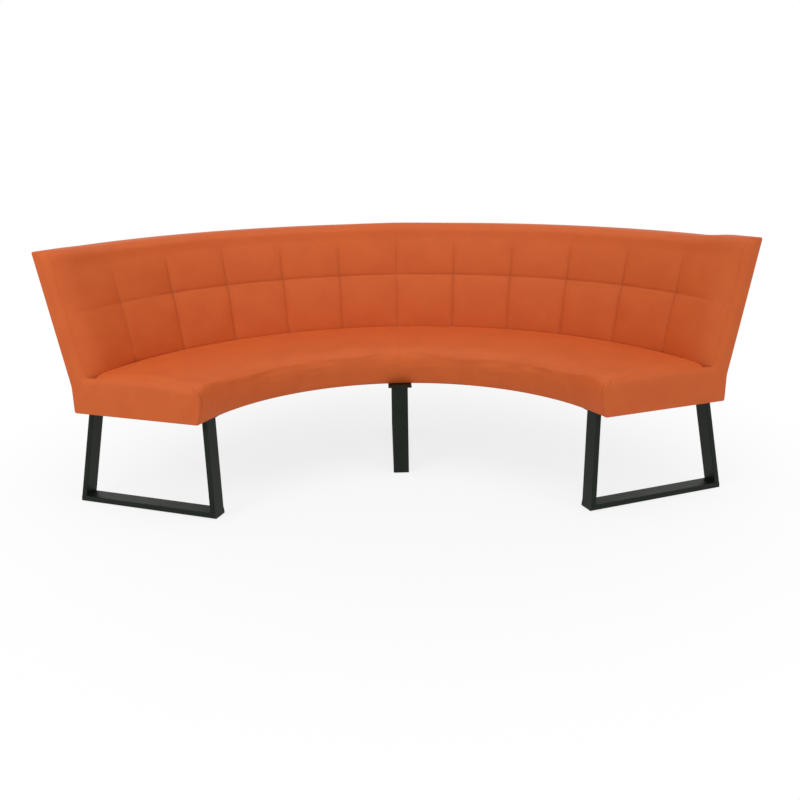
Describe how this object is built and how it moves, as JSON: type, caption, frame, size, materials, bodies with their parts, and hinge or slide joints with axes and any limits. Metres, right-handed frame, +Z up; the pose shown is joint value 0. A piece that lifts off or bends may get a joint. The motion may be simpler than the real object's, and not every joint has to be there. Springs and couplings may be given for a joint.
{
  "type": "upholstered banquette bench",
  "caption": "Curved bench with a crowned seat, a leaning back quilted in square cells, plain L-shaped ends and flat-tube sled frames.",
  "frame": {"origin": "on the floor under the middle of the bounding box", "axes": "+Z up, +X to the right as seen by someone facing the seat, +Y from the open side of the arc towards the back"},
  "size_m": [2.4968, 1.0835, 0.921],
  "materials": {
    "faux_leather": "smooth matt orange faux leather over wadding",
    "foam": "open-cell upholstery foam",
    "plywood": "raw birch plywood",
    "webbing": "elastic upholstery webbing",
    "dust_cloth": "black non-woven cloth",
    "frame_steel": "dark powder coat on flat steel tube",
    "zinc_steel": "zinc-plated steel",
    "glides": "black moulded plastic"
  },
  "bodies": {
    "root": {"back_foam": "foam", "back_lining": "plywood", "back_quilt_left": "faux_leather", "back_quilt_right": "faux_leather", "back_top_rail": "plywood", "dust_cloth": "dust_cloth", "end_cheek_left": "plywood", "end_cheek_right": "plywood", "end_panel_left": "faux_leather", "end_panel_right": "faux_leather", "floor_bar_caps": "frame_steel", "floor_glides": "glides", "left_floor_bar": "frame_steel", "left_front_leg": "frame_steel", "left_front_plate": "frame_steel", "left_leg_board": "plywood", "left_rear_leg": "frame_steel", "left_rear_plate": "frame_steel", "leg_bolts": "zinc_steel", "middle_floor_bar": "frame_steel", "middle_front_leg": "frame_steel", "middle_front_plate": "frame_steel", "middle_leg_board": "plywood", "middle_rear_leg": "frame_steel", "middle_rear_plate": "frame_steel", "plywood_rib_1": "plywood", "plywood_rib_2": "plywood", "plywood_rib_3": "plywood", "plywood_rib_4": "plywood", "plywood_rib_5": "plywood", "rail_screws": "zinc_steel", "rear_cover": "faux_leather", "rear_lining": "plywood", "right_floor_bar": "frame_steel", "right_front_leg": "frame_steel", "right_front_plate": "frame_steel", "right_leg_board": "plywood", "right_rear_leg": "frame_steel", "right_rear_plate": "frame_steel", "seat_cover_left": "faux_leather", "seat_cover_right": "faux_leather", "seat_foam": "foam", "seat_front_rail": "plywood", "seat_rear_rail": "plywood", "strap_batten": "plywood", "tee_nuts": "zinc_steel", "webbing_straps": "webbing"}
  },
  "joints": []
}
